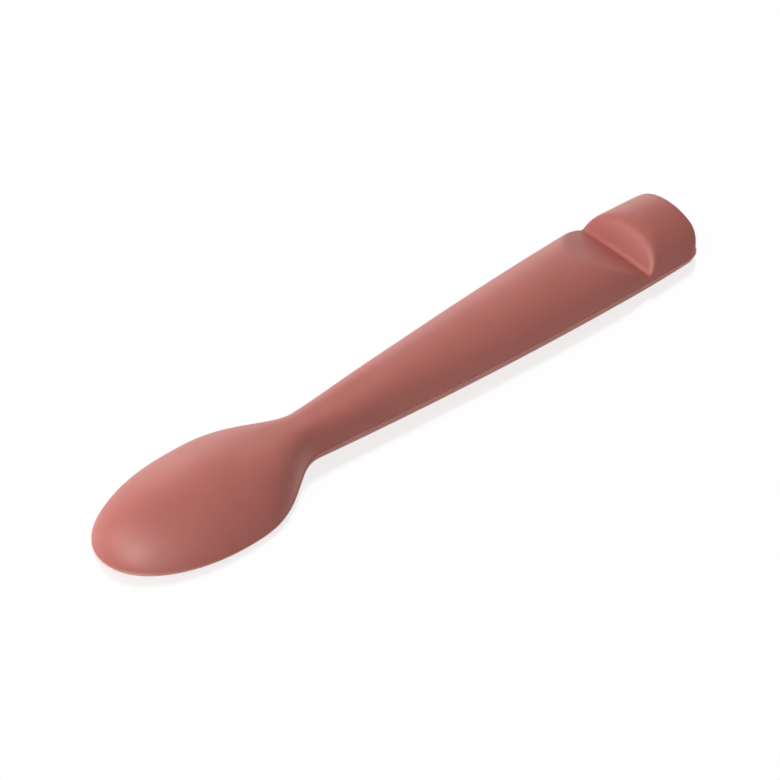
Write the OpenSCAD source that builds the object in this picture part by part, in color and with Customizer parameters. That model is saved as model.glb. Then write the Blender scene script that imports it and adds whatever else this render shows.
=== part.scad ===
// Baby spoon of soft silicone moulded round a rigid stiffening core.
// It lies with its back up, as on a table: the rim of the bowl and the flat face of the handle
// are at z = 0, the bowl is at -X and the handle's end at +X, and the origin is below the middle.

/* [Spoon] */
// Length from the tip of the bowl to the end of the handle
spoon_l = 145; // [130:1:165]
// Height of the parting line at the rim of the bowl
rim_parting_h = 0.6; // [0.5:0.1:1.2]
// Height of the parting line along the handle
parting_h = 1.5; // [1:0.1:1.9]
// How far the skin draws in from the parting line to the face below it
lower_edge = 0.3; // [0.2:0.1:0.6]
// The same at the handle's end, where the lower edge is rounder
end_lower_edge = 1.2; // [0.4:0.1:1.6]
// Distance from the handle's end over which the lower edge grows rounder
lower_edge_from_end = 20; // [10:1:30]

/* [Bowl] */
// Width of the bowl
bowl_w = 28.6; // [24:0.2:32]
// Height of the bowl's back over its rim
bowl_h = 9.5; // [8:0.1:11]
// Distance from the tip to where the bowl is widest
bowl_wide_at = 23.8; // [22:0.1:29]
// Distance from the tip to where the bowl is highest
bowl_high_at = 25.6; // [22:0.1:29]
// Thickness of the bowl at its deepest
bowl_wall = 2.2; // [1.6:0.1:3]
// Width of the rim round the hollow
rim_w = 1.6; // [1.2:0.1:2.2]
// Distance from the tip to the heel, where the hollow ends
hollow_end_at = 45.5; // [43:0.5:46.5]

/* [Neck] */
// Width of the neck
neck_w = 9; // [7.6:0.1:10]
// Height of the neck
neck_h = 7.8; // [7.4:0.1:9]
// Distance from the tip to the end of the bowl's sides
neck_at = 48.4; // [47.5:0.1:54]
// Distance from the tip to where the bowl's back has run out into the neck
neck_back_at = 59.2; // [56:0.1:64]

/* [Handle] */
// Width of the handle at its end
handle_w = 20.3; // [17:0.1:23]
// Height of the handle at its thickest
handle_h = 8.7; // [8:0.1:10]
// Distance from the handle's end to where it is thickest
handle_high_from_end = 19.5; // [16:0.5:30]
// Height of the handle's end
end_h = 8.3; // [6.6:0.1:8.6]
// Radius of the end's corners, seen from above
end_corner_r = 4.2; // [1:0.1:5]

/* [Rest notch] */
// Distance from the handle's end to the bottom of the notch
notch_from_end = 15.5; // [14:0.1:20]
// Length of the slope that leads down into the notch
notch_slope_l = 13; // [10:0.5:16]
// Depth of the notch below the handle's back
notch_d = 5.1; // [3:0.1:5.6]
// Steepness of the wall on the notch's far side at its foot, in degrees
notch_foot_angle = 38; // [34:1:46]
// Steepness of the same wall at its top, in degrees
notch_top_angle = 60; // [50:1:66]

/* [Stiffening core] */
// Thickness of the core's bar
core_t = 2; // [1.6:0.1:2.4]
// Silicone under the core
core_cover_below = 2.2; // [1.6:0.1:2.6]
// Silicone beside the core
core_cover_side = 2.1; // [1.8:0.1:2.6]
// Silicone between the heel of the hollow and the tip of the core's tongue
core_cover_heel = 1.5; // [1:0.1:3]
// Distance from the bottom of the notch back to the end of the core
core_end_to_notch = 7; // [5:0.5:12]
// Radius of the core's corners, seen from above
core_corner_r = 1.8; // [1:0.1:2]
// Width of the rib along the core's back
rib_w = 2; // [1.4:0.1:2.4]
// Height of the rib over the bar
rib_h = 1.8; // [1:0.1:2.2]
// Distance from the neck to where the rib begins
rib_from_neck = 6; // [4:0.5:10]
// Distance from the rib's end to the end of the core
rib_to_core_end = 9; // [6:0.5:14]
// Distance from the neck to the first pair of holes that the silicone locks into
lock_from_neck = 27; // [25:0.5:32]
// Distance from one pair of lock holes to the next
lock_pitch = 11; // [8:0.5:14]
// Plastic left between a lock hole and the rib, and between the hole and the core's edge
lock_edge = 0.7; // [0.5:0.1:0.9]

/* [Hidden] */

// How full the curves are: 2 is an ellipse, and more is squarer
tip_power = 2.03;
bowl_back_power = 2.4;
// How flat the section's top is and how full its flanks are, for the bowl, the handle and the end
bowl_section_shares = [2, 0.725];
handle_section_shares = [2.35, 0.46];
end_section_shares = [2, 0.7];
// How late and how fast the bowl's sides and back run out into the neck
side_run_shares = [2.74, 2.23];
back_run_shares = [2.06, 1.83];
// How the hollow closes towards its heel, in plan and in depth
heel_plan_shares = [2, 0.9];
heel_depth_shares = [2.2, 1];
// Where the section starts to change from the bowl's to the handle's, as shares of neck_at
section_change_shares = [0.6, 1.2];
// Least width of the flat strip inside the rim where there is no hollow, and of the tip's edge
strip_share = 0.3;
tip_edge_share = 0.4;
// Overrun of every cut past what it cuts
overrun = 1;
// Half width, as a share, of the strip along the middle of the back where there is no notch
ridge_share = 0.06;

bowl_half = bowl_w / 2;
hollow_depth = bowl_h - bowl_wall;
handle_high_at = spoon_l - handle_high_from_end;
notch_at = spoon_l - notch_from_end;
slope_at = notch_at - notch_slope_l;
core_start = hollow_end_at + core_cover_heel;
core_end = notch_at - core_end_to_notch;
rib_start = neck_at + rib_from_neck;
rib_end = core_end - rib_to_core_end;
lock_start = neck_at + lock_from_neck;
foot_steep = tan(notch_foot_angle);
wall_curl = tan(notch_top_angle) - foot_steep;
notch_wall_l = notch_d * (sqrt(foot_steep * foot_steep + 2 * wall_curl) - foot_steep) / wall_curl;
notch_end_at = notch_at + notch_wall_l;

// Counts of facets along the bowl's front, its rear, the handle before the notch,
// the notch's slope and wall, the handle's end and an end corner
front_n = 16;
rear_n = 16;
handle_n = 16;
slope_n = 9;
wall_n = 4;
end_n = 3;
corner_n = 4;
// Counts of facets up a flank, over the ridge, down a lower edge, across the hollow and along the core
flank_n = 11;
ridge_n = 6;
edge_n = 2;
hollow_n = 14;
core_n = 24;

function clamp01(t) = min(max(t, 0), 1);
// Rises from 0 at x = 0 to 1 at x = at, round as a superellipse
function rise(x, at, power) = pow(1 - pow(clamp01(1 - x / at), power), 1 / power);
// Runs from 0 to 1 as t does, with a smooth start and end
function run_out(t, shares) = 1 - pow(1 - pow(clamp01(t), shares[0]), shares[1]);
// Falls from 1 to 0 as t goes from 0 to 1
function closing(t, shares) = pow(1 - pow(clamp01(t), shares[0]), shares[1]);
function blend(a, b, t) = a + (b - a) * t;
function smooth(t) = t * t * (3 - 2 * t);

// Half the width of the handle: it widens from the neck to the end, ever more slowly
function handle_half(x) =
    blend(handle_w / 2, neck_w / 2, pow(clamp01((spoon_l - x) / (spoon_l - neck_at)), 2));

// Half the width of the spoon at the parting line
function half_width(x) =
    x < bowl_wide_at ? bowl_half * rise(x, bowl_wide_at, tip_power)
    : blend(bowl_half, handle_half(x), run_out((x - bowl_wide_at) / (neck_at - bowl_wide_at), side_run_shares));

// Height of the handle's back along the middle
function handle_crown(x) =
    x < handle_high_at
    ? blend(handle_h, neck_h, pow((handle_high_at - x) / (handle_high_at - neck_back_at), 2))
    : blend(handle_h, end_h, pow((x - handle_high_at) / handle_high_from_end, 2));

// Height of the parting line
function parting(x) = blend(rim_parting_h, parting_h, smooth(clamp01(x / neck_back_at)));

// Height of the spoon's back along the middle
function crown(x) =
    x < bowl_high_at
    ? rim_parting_h + (bowl_h - rim_parting_h) * rise(x, bowl_high_at, bowl_back_power)
    : blend(bowl_h, handle_crown(max(x, neck_back_at)),
            run_out((x - bowl_high_at) / (neck_back_at - bowl_high_at), back_run_shares));

// Shares of the section over the parting line
function section_shares(x) =
    blend(bowl_section_shares, handle_section_shares,
          smooth(clamp01((x / neck_at - section_change_shares[0]) / (section_change_shares[1] - section_change_shares[0]))))
    + (end_section_shares - handle_section_shares) * clamp01((x - notch_at) / notch_from_end);

// Height of the notch: a slope that steepens towards the bottom, and a hollowed far wall
function notch_height(x) =
    let (low = crown(notch_at) - notch_d, s = (x - slope_at) / notch_slope_l, way = x - notch_at)
    s < 0 ? crown(x)
    : s < 1 ? blend(crown(slope_at), low, s * s)
    : low + way * foot_steep + way * way * wall_curl / (2 * notch_d);

// Height of the back at a share u of the half width
function back_height(x, u) =
    let (s = section_shares(x), low = parting(x))
    low + (crown(x) - low) * closing(abs(u), s);

// Half width and height of the hollow in the bowl
function hollow_half(x) =
    x < bowl_wide_at ? (bowl_half - rim_w) * rise(max(x - rim_w, 0), bowl_wide_at - rim_w, tip_power)
    : (bowl_half - rim_w) * closing((x - bowl_wide_at) / (hollow_end_at - bowl_wide_at), heel_plan_shares);
function hollow_crown(x) =
    x < bowl_high_at ? hollow_depth * rise(max(x - rim_w, 0), bowl_high_at - rim_w, bowl_back_power)
    : hollow_depth * closing((x - bowl_high_at) / (hollow_end_at - bowl_high_at), heel_depth_shares);
function hollow_height(x, y) =
    let (w = hollow_half(x))
    abs(y) < w ? hollow_crown(x) * sqrt(1 - pow(y / w, 2)) : 0;

// Half the width left where the end's corners are rounded
function trimmed_half(x) =
    let (d = max(x - (spoon_l - end_corner_r), 0))
    half_width(x) - end_corner_r + sqrt(max(end_corner_r * end_corner_r - d * d, 0));

stations = [
    for (i = [1 : front_n]) bowl_wide_at * (1 - cos(90 * i / front_n)),
    for (i = [1 : rear_n]) blend(bowl_wide_at, neck_at, i / rear_n),
    for (i = [1 : handle_n]) blend(neck_at, slope_at, i / handle_n),
    for (i = [1 : slope_n]) blend(slope_at, notch_at, i / slope_n),
    for (i = [1 : wall_n]) blend(notch_at, notch_end_at, i / wall_n),
    for (i = [1 : end_n]) blend(notch_end_at, spoon_l - end_corner_r, i / end_n),
    for (i = [1 : corner_n]) spoon_l - end_corner_r * (1 - sin(90 * i / corner_n)),
];

// Angle up the flank at which the notch, or else the ridge, begins
function flank_end(x) =
    let (s = section_shares(x), low = parting(x), cut = (notch_height(x) - low) / (crown(x) - low))
    min(asin(pow(clamp01(cut), 1 / (2 * s[1]))), acos(pow(ridge_share, s[0] / 2)));

// How far the skin draws in under the parting line
function edge_in(x) =
    blend(lower_edge, end_lower_edge, pow(clamp01(1 - (spoon_l - x) / lower_edge_from_end), 2));

// One closed outline across the spoon: up a flank, over the ridge or the notch, down the other
// flank, round each lower edge and along the underside
function section(x) =
    let (full = half_width(x), w = trimmed_half(x), p = section_shares(x)[0], low = parting(x),
         edge = min(edge_in(x), w * tip_edge_share),
         inner = max(hollow_half(x), (w - edge) * strip_share),
         up = flank_end(x), top_y = w * pow(cos(up), 2 / p))
    [
        for (j = [0 : flank_n])
            let (y = w * pow(cos(up * j / flank_n), 2 / p))
            [x, y, back_height(x, y / full)],
        for (j = [1 : ridge_n - 1])
            let (y = top_y * (1 - 2 * j / ridge_n))
            [x, y, min(back_height(x, y / full), notch_height(x))],
        for (j = [flank_n : -1 : 0])
            let (y = -w * pow(cos(up * j / flank_n), 2 / p))
            [x, y, back_height(x, y / full)],
        for (j = [1 : edge_n])
            let (a = 90 * j / edge_n)
            [x, -w + edge * (1 - cos(a)), low * (1 - sin(a))],
        for (j = [0 : hollow_n])
            let (y = -inner * cos(180 * j / hollow_n))
            [x, y, hollow_height(x, y)],
        for (j = [edge_n : -1 : 1])
            let (a = 90 * j / edge_n)
            [x, w - edge * (1 - cos(a)), low * (1 - sin(a))],
    ];

// The spoon's outer skin with its hollow and notch, before the core is taken out
module moulding() {
    rings = [for (x = stations) section(x)];
    m = len(rings[0]);
    last = len(rings) - 1;
    tip = len(rings) * m;
    points = concat([for (ring = rings, point = ring) point], [[0, 0, rim_parting_h / 2]]);
    tip_faces = [for (j = [0 : m - 1]) [tip, j, (j + 1) % m]];
    side_faces = [
        for (i = [0 : last - 1], j = [0 : m - 1], half = [0, 1])
            let (a = i * m + j, b = i * m + (j + 1) % m)
            half == 0 ? [a, b + m, b] : [a, a + m, b + m],
    ];
    end_face = [for (j = [m - 1 : -1 : 0]) last * m + j];
    polyhedron(points, concat(tip_faces, side_faces, [end_face]), convexity = 6);
}

// Half the width of the core, which follows the handle's outline and has round corners
function core_half(x) =
    let (d = max(core_corner_r - min(x - core_start, core_end - x), 0))
    half_width(x) - core_cover_side - core_corner_r
    + sqrt(max(core_corner_r * core_corner_r - d * d, 0));

core_stations = [
    for (i = [0 : corner_n]) core_start + core_corner_r * (1 - cos(90 * i / corner_n)),
    for (i = [1 : core_n - 1]) blend(core_start + core_corner_r, core_end - core_corner_r, i / core_n),
    for (i = [0 : corner_n]) core_end - core_corner_r * (1 - sin(90 * i / corner_n)),
];

// Flat bar, rib and lock holes, as one rigid moulding
module core_solid() {
    outline = concat(
        [for (x = core_stations) [x, -core_half(x)]],
        [for (i = [len(core_stations) - 1 : -1 : 0]) [core_stations[i], core_half(core_stations[i])]]);
    translate([0, 0, core_cover_below])
        difference() {
            union() {
                linear_extrude(height = core_t) polygon(outline);
                translate([rib_start, -rib_w / 2, 0])
                    cube([rib_end - rib_start, rib_w, core_t + rib_h]);
            }
            for (x = [lock_start : lock_pitch : rib_end], side = [-1, 1])
                translate([x, side * (core_half(x) + rib_w / 2) / 2, -overrun])
                    cylinder(d = core_half(x) - rib_w / 2 - 2 * lock_edge, h = core_t + 2 * overrun, $fn = 32);
        }
}

module silicone_body() {
    color("#c0766c")
        translate([-spoon_l / 2, 0, 0])
            difference() {
                moulding();
                core_solid();
            }
}

module stiffening_core() {
    color("#e8e4da") translate([-spoon_l / 2, 0, 0]) core_solid();
}

silicone_body();
stiffening_core();
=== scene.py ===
import math

import bpy
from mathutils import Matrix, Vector


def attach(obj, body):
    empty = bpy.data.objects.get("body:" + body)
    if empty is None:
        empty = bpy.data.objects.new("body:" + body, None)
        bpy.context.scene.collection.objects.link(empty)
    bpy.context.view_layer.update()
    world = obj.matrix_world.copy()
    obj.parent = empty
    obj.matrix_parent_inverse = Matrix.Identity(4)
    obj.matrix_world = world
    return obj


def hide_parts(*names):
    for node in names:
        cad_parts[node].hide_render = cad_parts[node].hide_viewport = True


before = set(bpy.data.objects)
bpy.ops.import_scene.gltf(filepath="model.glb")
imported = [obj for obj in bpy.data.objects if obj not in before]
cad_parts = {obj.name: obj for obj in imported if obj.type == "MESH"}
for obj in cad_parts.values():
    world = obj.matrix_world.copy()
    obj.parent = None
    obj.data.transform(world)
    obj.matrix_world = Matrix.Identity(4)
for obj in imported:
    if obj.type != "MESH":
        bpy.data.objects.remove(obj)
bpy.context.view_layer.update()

# Baby spoon of soft silicone moulded round a rigid core, lying with its back up.
# Lengths are in millimetres until a mesh or an object takes them, and x runs from the bowl's tip
# in every formula of the form, as in the part's source. Named angles are in degrees.
MM = 0.001

SPOON_L = 145
BOWL_HALF = 14.3
BOWL_H = 9.5
BOWL_WIDE_AT = 23.8
BOWL_HIGH_AT = 25.2
BOWL_WALL = 2.2
RIM_W = 1.6
RIM_PARTING_H = 0.6
HOLLOW_END_AT = 45.5
NECK_HALF = 4.58
NECK_H = 7.3
NECK_AT = 48.4
NECK_BACK_AT = 59.2
NECK_SECTION_TO = 85
HANDLE_HALF = 10.15
HANDLE_H = 8.7
HANDLE_HIGH_FROM_END = 19.5
PARTING_H = 1.5
END_H = 8.3
END_CORNER_R = 4.2
END_LOWER_EDGE_R = 1.2
LOWER_EDGE_FROM_END = 20
NOTCH_FROM_END = 14.7
NOTCH_SLOPE_L = 12.3
NOTCH_D = 5.8
NOTCH_FOOT_ANGLE = 61
NOTCH_TOP_ANGLE = 32

# Powers of the curves between those sizes. A section has two: the larger the first, the flatter its
# top, and the smaller the second, the fuller its flanks. A run has two: a larger first one keeps it
# longer at its start, and a larger second one brings it earlier to its end.
TIP_POWER = 2.03
BOWL_BACK_POWER = 2.4
BOWL_SECTION = (2, 0.725)
NECK_SECTION = (3.5, 0.48)
HANDLE_SECTION = (2.35, 0.46)
END_SECTION = (2, 0.64)
SIDE_RUN = (2.77, 2.07)
BACK_RUN = (1.77, 2.27)
HEEL_PLAN = (2, 0.9)
HEEL_DEPTH = (2.2, 1)
SLOPE_BEND_POWER = 0.3
# The bowl's section turns into the neck's between these shares of the way from the tip to the neck
SECTION_CHANGE_SHARES = (0.51, 1)

# What the moulding has finer than the source: the rounding of the notch and of every edge. The two
# edge shares hold a rounding under that share of the height of the wall or the hollow that it is on.
ONSET_SOFT = 0.5
CREST_SOFT = 2
VALLEY_SOFT = 1.5
SOFT_CHANGE_L = 2
NOTCH_SIDE_DROP = 0.4
END_EDGE_R = 0.7
END_EDGE_SHARE = 0.45
LIP_DRAW_IN = 0.1
LIP_R = 0.25
HOLLOW_EDGE_R = 0.5
HOLLOW_EDGE_SHARE = 0.3
FLASH_HALF_W = 0.18
FLASH_H = 0.24

HANDLE_HIGH_AT = SPOON_L - HANDLE_HIGH_FROM_END
NOTCH_AT = SPOON_L - NOTCH_FROM_END
SLOPE_AT = NOTCH_AT - NOTCH_SLOPE_L
CORNER_AT = SPOON_L - END_CORNER_R

# A length too small to see, against division by zero and rounding
TINY = 0.001


def clamp01(t):
    return min(max(t, 0), 1)


def blend(a, b, t):
    return a + (b - a) * t


def smooth(t):
    """From 0 to 1, level at both ends."""
    return t * t * (3 - 2 * t)


def quarter(i, steps):
    """Step i of the steps that share a quarter turn, in radians."""
    return math.radians(90 * i / steps)


def rise(x, at, power):
    """From 0 at x = 0 to 1 at x = at, round as a superellipse."""
    return (1 - clamp01(1 - x / at) ** power) ** (1 / power)


def closing(t, powers):
    """From 1 at t = 0 to 0 at t = 1."""
    return (1 - clamp01(t) ** powers[0]) ** powers[1]


def run_out(t, powers):
    """From 0 at t = 0 to 1 at t = 1."""
    return 1 - closing(t, powers)


def softer_low(a, b, soft):
    """The lower of two heights, rounded where they differ by less than the soft height."""
    t = clamp01(0.5 + (b - a) / (2 * soft))
    return blend(b, a, t) - soft * t * (1 - t)


def half_width(x):
    """Half the width of the spoon at its parting line."""
    if x < BOWL_WIDE_AT:
        return BOWL_HALF * rise(x, BOWL_WIDE_AT, TIP_POWER)
    handle = blend(HANDLE_HALF, NECK_HALF, (max(SPOON_L - x, 0) / (SPOON_L - NECK_AT)) ** 2)
    run = run_out((x - BOWL_WIDE_AT) / (NECK_AT - BOWL_WIDE_AT), SIDE_RUN)
    return blend(BOWL_HALF, handle, run)


def parting(x):
    """Height of the parting line."""
    t = clamp01((x - BOWL_WIDE_AT) / (NECK_BACK_AT - BOWL_WIDE_AT))
    return blend(RIM_PARTING_H, PARTING_H, smooth(t))


def handle_crown(x):
    """Height of the handle's back along the middle, which is highest a little before its end."""
    if x < HANDLE_HIGH_AT:
        return blend(HANDLE_H, NECK_H, ((HANDLE_HIGH_AT - x) / (HANDLE_HIGH_AT - NECK_BACK_AT)) ** 2)
    return blend(HANDLE_H, END_H, ((x - HANDLE_HIGH_AT) / HANDLE_HIGH_FROM_END) ** 2)


def crown(x):
    """Height of the back along the middle, before the notch is cut."""
    if x < BOWL_HIGH_AT:
        return RIM_PARTING_H + (BOWL_H - RIM_PARTING_H) * rise(x, BOWL_HIGH_AT, BOWL_BACK_POWER)
    run = run_out((x - BOWL_HIGH_AT) / (NECK_BACK_AT - BOWL_HIGH_AT), BACK_RUN)
    return blend(BOWL_H, handle_crown(x), run)


def section_power(x, i):
    """The section's first power, for its top (i = 0), or its second, for its flanks (i = 1)."""
    change_from, change_to = SECTION_CHANGE_SHARES
    change = (x / NECK_AT - change_from) / (change_to - change_from)
    power = blend(BOWL_SECTION[i], NECK_SECTION[i], smooth(clamp01(change)))
    change = (x - NECK_AT) / (NECK_SECTION_TO - NECK_AT)
    power = blend(power, HANDLE_SECTION[i], smooth(clamp01(change)))
    change = (x - NOTCH_AT) / NOTCH_FROM_END
    return power + (END_SECTION[i] - HANDLE_SECTION[i]) * clamp01(change)


def notch_height(x):
    """Height of the notch along the middle: a slope that steepens as it goes down, a rounded valley,
    and a wall that is steep at its foot and leans back towards its top."""
    top, low = crown(SLOPE_AT), crown(NOTCH_AT) - NOTCH_D
    share = (x - SLOPE_AT) / NOTCH_SLOPE_L
    slope = top + (low - top) * share * abs(share) ** SLOPE_BEND_POWER
    foot_rise = math.tan(math.radians(NOTCH_FOOT_ANGLE))
    top_rise = math.tan(math.radians(NOTCH_TOP_ANGLE))
    # The wall's rise per millimetre goes from the foot's to the top's with the square of the way, over
    # the length in which the wall climbs the notch's depth, and stays the top's beyond that
    wall_l = 3 * NOTCH_D / (2 * foot_rise + top_rise)
    way = x - NOTCH_AT
    up = min(way, wall_l)
    lean = max(up, 0) ** 3 * (top_rise - foot_rise) / (3 * wall_l ** 2)
    wall = low + up * foot_rise + lean + (way - up) * top_rise
    return -softer_low(-slope, -wall, VALLEY_SOFT)


def back_height(x, y):
    """Height of the back with its notch at any point of the plan."""
    across = abs(y) / max(half_width(x), TINY)
    flank = closing(across, (section_power(x, 0), section_power(x, 1)))
    whole = parting(x) + (crown(x) - parting(x)) * flank
    if x < SLOPE_AT - NOTCH_SLOPE_L:
        return whole
    soft = blend(ONSET_SOFT, CREST_SOFT, smooth(clamp01((x - NOTCH_AT) / SOFT_CHANGE_L + 0.5)))
    notch = notch_height(x) - NOTCH_SIDE_DROP * (y / HANDLE_HALF) ** 2
    return softer_low(whole, notch, soft)


def lower_edge_r(x):
    """Radius of the edge under the parting line, which grows rounder towards the handle's end."""
    return blend(LIP_R, END_LOWER_EDGE_R, clamp01((x - SPOON_L) / LOWER_EDGE_FROM_END + 1) ** 2)


def hollow_half(x):
    """Half the width of the hollow, inside the rim."""
    if x < BOWL_WIDE_AT:
        return (BOWL_HALF - RIM_W) * rise(max(x - RIM_W, 0), BOWL_WIDE_AT - RIM_W, TIP_POWER)
    return (BOWL_HALF - RIM_W) * closing((x - BOWL_WIDE_AT) / (HOLLOW_END_AT - BOWL_WIDE_AT), HEEL_PLAN)


def hollow_height(x, y):
    """Height of the hollow's ceiling over the face that the spoon lies on."""
    w = hollow_half(x)
    if abs(y) >= w:
        return 0
    if x < BOWL_HIGH_AT:
        deep = rise(max(x - RIM_W, 0), BOWL_HIGH_AT - RIM_W, BOWL_BACK_POWER)
    else:
        deep = closing((x - BOWL_HIGH_AT) / (HOLLOW_END_AT - BOWL_HIGH_AT), HEEL_DEPTH)
    return (BOWL_H - BOWL_WALL) * deep * math.sqrt(1 - (y / w) ** 2)


def ladder(knots):
    """Places from each knot to the next, in the number of steps that the next knot gives."""
    places = [knots[0][0]]
    for (start, _), (end, steps) in zip(knots, knots[1:]):
        places += [blend(start, end, i / steps) for i in range(1, steps + 1)]
    return places


# The sheet's columns stand across the spoon. Round the tip and round the end they fan out, so that
# they meet the outline squarely: each goes from the outline to its own place on the middle line.
TIP_FAN_TO = 9
TIP_FAN_POWER = 1.6
END_FAN_FROM = 134.5
END_FAN_TO = 139.5
SLOPE_LEAD_IN = 4
VALLEY_LEAD_IN = 2.5
TIP_STEPS = 44
SIDE_KNOTS = [(BOWL_WIDE_AT, 0), (NECK_AT, 32), (NECK_BACK_AT, 10), (SLOPE_AT - SLOPE_LEAD_IN, 44),
              (NOTCH_AT - VALLEY_LEAD_IN, 22), (END_FAN_FROM, 34), (CORNER_AT, 12)]
CORNER_STEPS = 16
END_STEPS = 14
# Where the hollow is narrower than this share of the half width, or has ended, the rows that line
# it cover a strip of that share instead
STRIP_SHARE = 0.3
# Half the length over which the outline's slope is measured
SLOPE_REACH = 0.01


def columns():
    """For each column the point on the outline, the way in, the hollow's edge and the middle's x."""
    made = []
    for i in range(TIP_STEPS):
        a = quarter(i, TIP_STEPS)
        c, s = math.cos(a) ** (2 / TIP_POWER), math.sin(a) ** (2 / TIP_POWER)
        way = Vector((c ** (TIP_POWER - 1) / BOWL_WIDE_AT, -s ** (TIP_POWER - 1) / BOWL_HALF))
        edge = Vector((RIM_W + (BOWL_WIDE_AT - RIM_W) * (1 - c), (BOWL_HALF - RIM_W) * s))
        middle = blend(TIP_FAN_TO, BOWL_WIDE_AT, (i / TIP_STEPS) ** TIP_FAN_POWER)
        made.append((Vector((BOWL_WIDE_AT * (1 - c), BOWL_HALF * s)), way.normalized(), edge, middle))
    for x in ladder(SIDE_KNOTS):
        y = half_width(x)
        slope = (half_width(x + SLOPE_REACH) - half_width(x - SLOPE_REACH)) / (2 * SLOPE_REACH)
        edge = Vector((x, max(hollow_half(x), y * STRIP_SHARE)))
        made.append((Vector((x, y)), Vector((slope, -1)).normalized(), edge, x))
    for i in range(1, CORNER_STEPS + 1):
        a = quarter(i, CORNER_STEPS)
        x = CORNER_AT + END_CORNER_R * math.sin(a)
        y = half_width(x) - END_CORNER_R * (1 - math.cos(a))
        made.append((Vector((x, y)), Vector((-math.sin(a), -math.cos(a))), None, None))
    corner_y = made[-1][0].y
    for i in range(1, END_STEPS + 1):
        made.append((Vector((SPOON_L, corner_y * (1 - i / END_STEPS))), Vector((-1, 0)), None, None))
    # The middle line under the end's fan keeps pace with the way gone along the outline
    first = next(i for i, column in enumerate(made) if column[0].x >= END_FAN_FROM - TINY)
    gone = [0]
    for i in range(first + 1, len(made)):
        gone.append(gone[-1] + (made[i][0] - made[i - 1][0]).length)
    for i, way_gone in zip(range(first, len(made)), gone):
        outline, way, _, _ = made[i]
        middle = blend(END_FAN_FROM, END_FAN_TO, 1 - (1 - way_gone / gone[-1]) ** 2)
        edge = Vector((middle, 0)).lerp(outline, STRIP_SHARE)
        made[i] = (outline, way, edge, middle)
    return made


# The sheet's rows run from the hollow's middle round the lip to the flash, and over the back
HOLLOW_ROWS = 18
HOLLOW_EDGE_ROWS = 5
LIP_ROWS = 6
BACK_ROWS = 46
FLASH_ROW = HOLLOW_ROWS + HOLLOW_EDGE_ROWS + 1 + LIP_ROWS + 1
# The back is measured in these finer steps before its rows are spaced along it
END_WALL_STEPS = 12
BACK_STEPS = 160
# Share of a pale, warm colour painted on these rows, from 0 to 1: painted light, as a painted highlight
# along the flash and a painted glow under the flash and round the lip, for light thrown up from the
# table and shining through the edge
FLASH_PAINTED_LIGHT = 1
UNDER_FLASH_PAINTED_LIGHT = 0.1
LIP_PAINTED_LIGHT = 0.6
PAINTED_LIGHT_ROWS = {FLASH_ROW: FLASH_PAINTED_LIGHT, FLASH_ROW - 1: UNDER_FLASH_PAINTED_LIGHT}
PAINTED_LIGHT_ROWS.update((row, LIP_PAINTED_LIGHT) for row in range(FLASH_ROW - 1 - LIP_ROWS, FLASH_ROW - 1))


def underside(outline, way, edge, middle):
    """One column's points from the middle to the parting line: hollow, rim, rounded lip, flash."""
    centre = Vector((middle, 0))
    outward = (outline - edge).normalized()
    edge_h = min(HOLLOW_EDGE_R, HOLLOW_EDGE_SHARE * hollow_height(max(middle, RIM_W), 0))
    points = []
    for i in range(HOLLOW_ROWS):
        place = centre.lerp(edge, math.sin(quarter(i, HOLLOW_ROWS)))
        points.append((place.x, place.y, max(hollow_height(place.x, place.y), edge_h)))
    for i in range(HOLLOW_EDGE_ROWS):
        a = quarter(i, HOLLOW_EDGE_ROWS - 1)
        place = edge + outward * HOLLOW_EDGE_R * (1 - math.cos(a))
        points.append((place.x, place.y, edge_h * (1 - math.sin(a))))
    lip_r = lower_edge_r(outline.x)
    lip = outline + way * (LIP_DRAW_IN + lip_r)
    points.append(((place.x + lip.x) / 2, (place.y + lip.y) / 2, 0))
    for i in range(LIP_ROWS):
        a = quarter(i, LIP_ROWS - 1)
        place = outline + way * (LIP_DRAW_IN + lip_r * (1 - math.sin(a)))
        points.append((place.x, place.y, lip_r * (1 - math.cos(a))))
    z = parting(outline.x)
    points.append((outline.x, outline.y, z - FLASH_HALF_W))
    points.append((outline.x, outline.y, z))
    return points


def back(outline, way, edge, middle):
    """One column's points over the back, from just above the parting line to the middle line, evenly
    spaced along the skin. Round the end the skin first climbs the end's wall and turns in over it."""
    z = parting(outline.x)
    wall_top = back_height(outline.x, outline.y)
    edge_r = min(END_EDGE_R, END_EDGE_SHARE * max(wall_top - z, 0))
    fine = [Vector((outline.x, outline.y, blend(z, wall_top - edge_r, i / END_WALL_STEPS)))
            for i in range(END_WALL_STEPS)]
    reach = Vector((middle, 0)) - outline
    for i in range(BACK_STEPS + 1):
        share = 1 - math.cos(quarter(i, BACK_STEPS)) ** (2 / section_power(outline.x, 0))
        place = outline + reach * share
        short = max(edge_r - reach.length * share, 0)
        drop = edge_r - math.sqrt(max(edge_r ** 2 - short ** 2, 0))
        fine.append(Vector((place.x, place.y, back_height(place.x, place.y) - drop)))
    gone = [0]
    for a, b in zip(fine, fine[1:]):
        gone.append(gone[-1] + (b - a).length)
    points, k = [], 0
    for i in range(BACK_ROWS):
        goal = blend(FLASH_HALF_W, gone[-1], i / (BACK_ROWS - 1))
        while k < len(fine) - 2 and gone[k + 1] < goal:
            k += 1
        step = gone[k + 1] - gone[k]
        points.append(tuple(fine[k].lerp(fine[k + 1], (goal - gone[k]) / step if step else 0)))
    return points


# Silicone moulding. It begins as a flat sheet of one column for each place along the outline and one
# row for each place round half the section. Its form follows the source's own curves, which no
# operator holds, so they place the sheet's points. The other half is mirrored from this one.
MIRROR_MERGE = 0.002
SEAM_MERGE = 0.005

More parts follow.
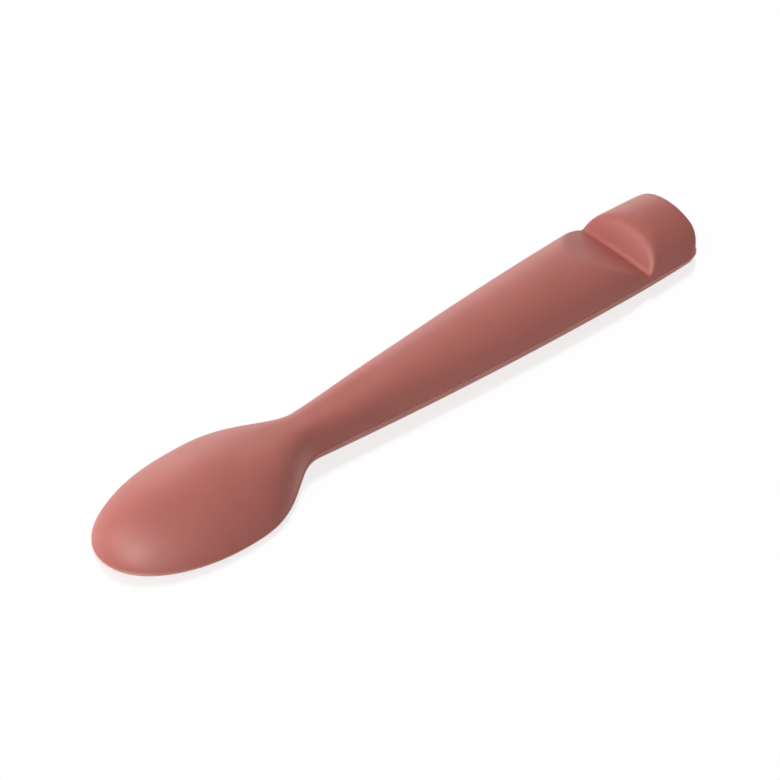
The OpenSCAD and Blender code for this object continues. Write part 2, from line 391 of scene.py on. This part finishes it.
plan = columns()
rows = [underside(*column) + back(*column) for column in plan]
bpy.ops.object.select_all(action="DESELECT")
bpy.ops.mesh.primitive_grid_add(x_subdivisions=len(plan) - 1, y_subdivisions=len(rows[0]) - 1,
                                size=SPOON_L * MM)
moulding = bpy.context.object
moulding.name = moulding.data.name = "silicone_moulding"
flash = moulding.vertex_groups.new(name="flash")
# Each point also takes its row's share of painted light: the pale colour of the flash's painted
# highlight and of the lip's painted glow
painted_light = moulding.data.attributes.new("painted_light", "FLOAT", "POINT")
for i, column in enumerate(rows):
    for j, (x, y, z) in enumerate(column):
        moulding.data.vertices[j * len(plan) + i].co = ((x - SPOON_L / 2) * MM, y * MM, z * MM)
        painted_light.data[j * len(plan) + i].value = PAINTED_LIGHT_ROWS.get(j, 0)
flash.add([FLASH_ROW * len(plan) + i for i in range(len(plan))], 1, "REPLACE")

mirror = moulding.modifiers.new("other_half", "MIRROR")
mirror.use_axis = (False, True, False)
mirror.merge_threshold = MIRROR_MERGE * MM
bpy.ops.object.modifier_apply(modifier=mirror.name)

# The halves are joined, the faces turned outwards, and the flash is drawn out of the parting line
bpy.ops.object.mode_set(mode="EDIT")
bpy.ops.mesh.select_all(action="SELECT")
bpy.ops.mesh.remove_doubles(threshold=SEAM_MERGE * MM)
bpy.ops.mesh.normals_make_consistent(inside=False)
bpy.ops.mesh.select_all(action="DESELECT")
bpy.ops.object.vertex_group_select()
bpy.ops.transform.shrink_fatten(value=FLASH_H * MM)
bpy.ops.object.mode_set(mode="OBJECT")
bpy.ops.object.shade_smooth()
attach(moulding, "root")
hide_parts("silicone_body")


def linear(hex_colour):
    """A colour written as sRGB hex, as the linear values that a node takes."""
    levels = [int(hex_colour[i:i + 2], 16) / 255 for i in (1, 3, 5)]
    return [v / 12.92 if v <= 0.04045 else ((v + 0.055) / 1.055) ** 2.4 for v in levels] + [1]


def add(tree, kind, inputs=None, **settings):
    """Adds a node with its settings, and sets or links the inputs that are named or numbered."""
    node = tree.nodes.new(kind)
    for name, value in settings.items():
        setattr(node, name, value)
    for socket, value in (inputs or {}).items():
        if isinstance(value, bpy.types.NodeSocket):
            tree.links.new(value, node.inputs[socket])
        else:
            node.inputs[socket].default_value = value
    return node


def material(name):
    """An empty node material and its tree."""
    made = bpy.data.materials.new(name)
    made.use_nodes = True
    made.node_tree.nodes.clear()
    return made, made.node_tree


def in_sight(tree):
    """1 where a ray shows the surface: from the camera, off a gloss or through something clear."""
    path = add(tree, "ShaderNodeLightPath")
    seen = add(tree, "ShaderNodeMath", operation="MAXIMUM",
               inputs={0: path.outputs["Is Camera Ray"], 1: path.outputs["Is Glossy Ray"]})
    seen = add(tree, "ShaderNodeMath", operation="MAXIMUM",
               inputs={0: seen.outputs[0], 1: path.outputs["Is Transmission Ray"]})
    return seen.outputs[0]


# A Mix node's sockets for colours
MIX_A = 6
MIX_B = 7
MIX_RESULT = 2

# Food-grade silicone, compression moulded in a fine-blasted mould: an even matte skin with a soft
# bloom where it turns away, a barely visible grain and slow, faint changes of depth in its colour.
# The grain is drawn coarser than the real one, which is too fine to show.
CLOUD_W = 14
BLAST_GRAIN_W = 0.35
BLAST_GRAIN_D = 0.05
SKIN_LIGHT_REACH = 1.2

silicone, tree = material("silicone_matte_moulded")
place = add(tree, "ShaderNodeTexCoord").outputs["Object"]
cloud = add(tree, "ShaderNodeTexNoise", {
    "Vector": place, "Scale": 1 / (CLOUD_W * MM), "Detail": 2, "Roughness": 0.5})
tone = add(tree, "ShaderNodeValToRGB", {"Fac": cloud.outputs["Fac"]})
tone.color_ramp.elements[0].position = 0.3
tone.color_ramp.elements[0].color = linear("#bb6a60")
tone.color_ramp.elements[1].position = 0.7
tone.color_ramp.elements[1].color = linear("#c27167")
# Painted light: the marked rows are mixed towards a pale, warm colour, a painted highlight on the flash
# and a painted glow under it and on the lip
painted_light = add(tree, "ShaderNodeAttribute", attribute_name="painted_light")
painted_light_colour = add(tree, "ShaderNodeMix", data_type="RGBA", inputs={
    "Factor": painted_light.outputs["Fac"], MIX_A: tone.outputs["Color"], MIX_B: linear("#f0b19e")})
grain = add(tree, "ShaderNodeTexNoise", {
    "Vector": place, "Scale": 1 / (BLAST_GRAIN_W * MM), "Detail": 3, "Roughness": 0.6})
sheen = add(tree, "ShaderNodeMapRange", {
    "Value": grain.outputs["Fac"], "To Min": 0.43, "To Max": 0.53})
bump = add(tree, "ShaderNodeBump", {
    "Height": grain.outputs["Fac"], "Strength": 0.12, "Distance": BLAST_GRAIN_D * MM})
skin = add(tree, "ShaderNodeBsdfPrincipled", {
    "Base Color": painted_light_colour.outputs[MIX_RESULT], "Roughness": sheen.outputs["Result"], "IOR": 1.41,
    "Subsurface Weight": 0.12, "Subsurface Radius": (1, 0.35, 0.25),
    "Subsurface Scale": SKIN_LIGHT_REACH * MM, "Normal": bump.outputs["Normal"]})
add(tree, "ShaderNodeOutputMaterial", {"Surface": skin.outputs["BSDF"]})
moulding.data.materials.append(silicone)

# Polypropylene, injection moulded and left natural: off-white, waxy, with faint flow lines drawn out
# along the bar. The silicone closes over it, so the eye meets it only in a cut.
FLOW_LINE_W = 1.5
FLOW_DRAWN_OUT = (0.15, 1, 1)
FLOW_LINE_D = 0.05
CORE_LIGHT_REACH = 1

core_plastic, tree = material("polypropylene_moulded")
place = add(tree, "ShaderNodeTexCoord").outputs["Object"]
drawn = add(tree, "ShaderNodeMapping", {"Vector": place, "Scale": FLOW_DRAWN_OUT})
flow = add(tree, "ShaderNodeTexNoise", {
    "Vector": drawn.outputs["Vector"], "Scale": 1 / (FLOW_LINE_W * MM), "Detail": 3})
tone = add(tree, "ShaderNodeValToRGB", {"Fac": flow.outputs["Fac"]})
tone.color_ramp.elements[0].color = linear("#dfdacd")
tone.color_ramp.elements[1].color = linear("#eeebe2")
bump = add(tree, "ShaderNodeBump", {
    "Height": flow.outputs["Fac"], "Strength": 0.1, "Distance": FLOW_LINE_D * MM})
skin = add(tree, "ShaderNodeBsdfPrincipled", {
    "Base Color": tone.outputs["Color"], "Roughness": 0.42, "IOR": 1.49,
    "Subsurface Weight": 0.15, "Subsurface Radius": (1, 0.9, 0.8),
    "Subsurface Scale": CORE_LIGHT_REACH * MM, "Normal": bump.outputs["Normal"]})
add(tree, "ShaderNodeOutputMaterial", {"Surface": skin.outputs["BSDF"]})
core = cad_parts["stiffening_core"]
core.data.materials.clear()
core.data.materials.append(core_plastic)

# Glossy white acrylic table: white to the camera, with a soft mirror image and a trace of shadow.
# Its own white is a trace over 1, so that it doesn't fall below the background's.
TABLE_SIZE_M = 4
TABLE_DROP = 0.02
TABLE_WHITE = 1.01
SHADOW_SHARE = 0.04
MIRROR_SHARE = 0.18

table_top, tree = material("acrylic_sheet_polished")
white = add(tree, "ShaderNodeEmission", {"Color": (1, 1, 1, 1), "Strength": TABLE_WHITE})
body = add(tree, "ShaderNodeBsdfDiffuse", {"Color": linear("#f2f2f2")})
lit = add(tree, "ShaderNodeMixShader", {0: SHADOW_SHARE, 1: white.outputs[0], 2: body.outputs[0]})
polish = add(tree, "ShaderNodeBsdfGlossy", {"Color": (1, 1, 1, 1), "Roughness": 0.15})
shown = add(tree, "ShaderNodeMixShader", {0: MIRROR_SHARE, 1: lit.outputs[0], 2: polish.outputs[0]})
surface = add(tree, "ShaderNodeMixShader", {0: in_sight(tree), 1: body.outputs[0], 2: shown.outputs[0]})
add(tree, "ShaderNodeOutputMaterial", {"Surface": surface.outputs[0]})
bpy.ops.mesh.primitive_plane_add(size=TABLE_SIZE_M, location=(0, 0, -TABLE_DROP * MM))
table = bpy.context.object
table.name = table.data.name = "table"
table.data.materials.append(table_top)

# White studio: full white in sight, and a dimmer white as the light that fills the shadows
SHADOW_FILL = 0.32

world = bpy.data.worlds.new("white_studio")
bpy.context.scene.world = world
world.use_nodes = True
tree = world.node_tree
tree.nodes.clear()
strength = add(tree, "ShaderNodeMapRange", {"Value": in_sight(tree), "To Min": SHADOW_FILL, "To Max": 1})
sky = add(tree, "ShaderNodeBackground", {"Color": (1, 1, 1, 1), "Strength": strength.outputs["Result"]})
add(tree, "ShaderNodeOutputWorld", {"Surface": sky.outputs[0]})


def toward(azimuth, elevation):
    """The way from the spoon to a light or the camera. Azimuth 0 is beyond the handle's end."""
    a, e = math.radians(azimuth), math.radians(elevation)
    return Vector((math.cos(a) * math.cos(e), math.sin(a) * math.cos(e), math.sin(e)))


# Softboxes round the spoon: one low beyond the bowl's tip, one high to the left of the picture, one
# behind, which draws the pale band along the far edges, and one that only the gloss shows, as the
# soft highlight on the bowl's tip. Each has its azimuth, elevation, distance, width and height, the
# last three in metres, and how bright its light would make a white face turned towards it.
SOFTBOXES = {
    "left_softbox": (180, 20, 0.9, 0.5, 0.5, 0.155),
    "high_softbox": (150, 46, 0.5, 0.3, 0.3, 0.56),
    "back_softbox": (60, 16, 0.9, 0.5, 0.5, 0.2),
    "gloss_softbox": (-152, 34, 0.9, 0.35, 0.9, 1.4),
}
for name, (azimuth, elevation, distance, wide, high, brightness) in SOFTBOXES.items():
    way = toward(azimuth, elevation)
    bpy.ops.object.light_add(type="AREA", location=way * distance,
                             rotation=way.to_track_quat("Z", "Y").to_euler())
    softbox = bpy.context.object
    softbox.name = softbox.data.name = name
    softbox.data.shape = "RECTANGLE"
    softbox.data.size = wide
    softbox.data.size_y = high
    softbox.data.energy = brightness * (math.pi * distance) ** 2
    softbox.visible_diffuse = name != "gloss_softbox"

# The photograph's viewpoint: 41.4 degrees round from the spoon's near side, towards the bowl's tip,
# and 41.7 degrees up. The point that it looks at lies close to the middle of the spoon's footprint.
CAMERA_AZIMUTH = -131.41
CAMERA_ELEVATION = 41.733
CAMERA_DISTANCE = 752
CAMERA_AIM = (-1.271, 1.304, 0)
CAMERA_LENS = 179.95
CAMERA_SENSOR = 36

way = toward(CAMERA_AZIMUTH, CAMERA_ELEVATION)
bpy.ops.object.camera_add(location=(Vector(CAMERA_AIM) + way * CAMERA_DISTANCE) * MM,
                          rotation=way.to_track_quat("Z", "Y").to_euler())
camera = bpy.context.object
camera.name = camera.data.name = "camera"
camera.data.sensor_width = CAMERA_SENSOR
camera.data.lens = CAMERA_LENS
camera.data.clip_start = 0.01
bpy.context.scene.camera = camera
bpy.context.scene.view_settings.view_transform = "Standard"
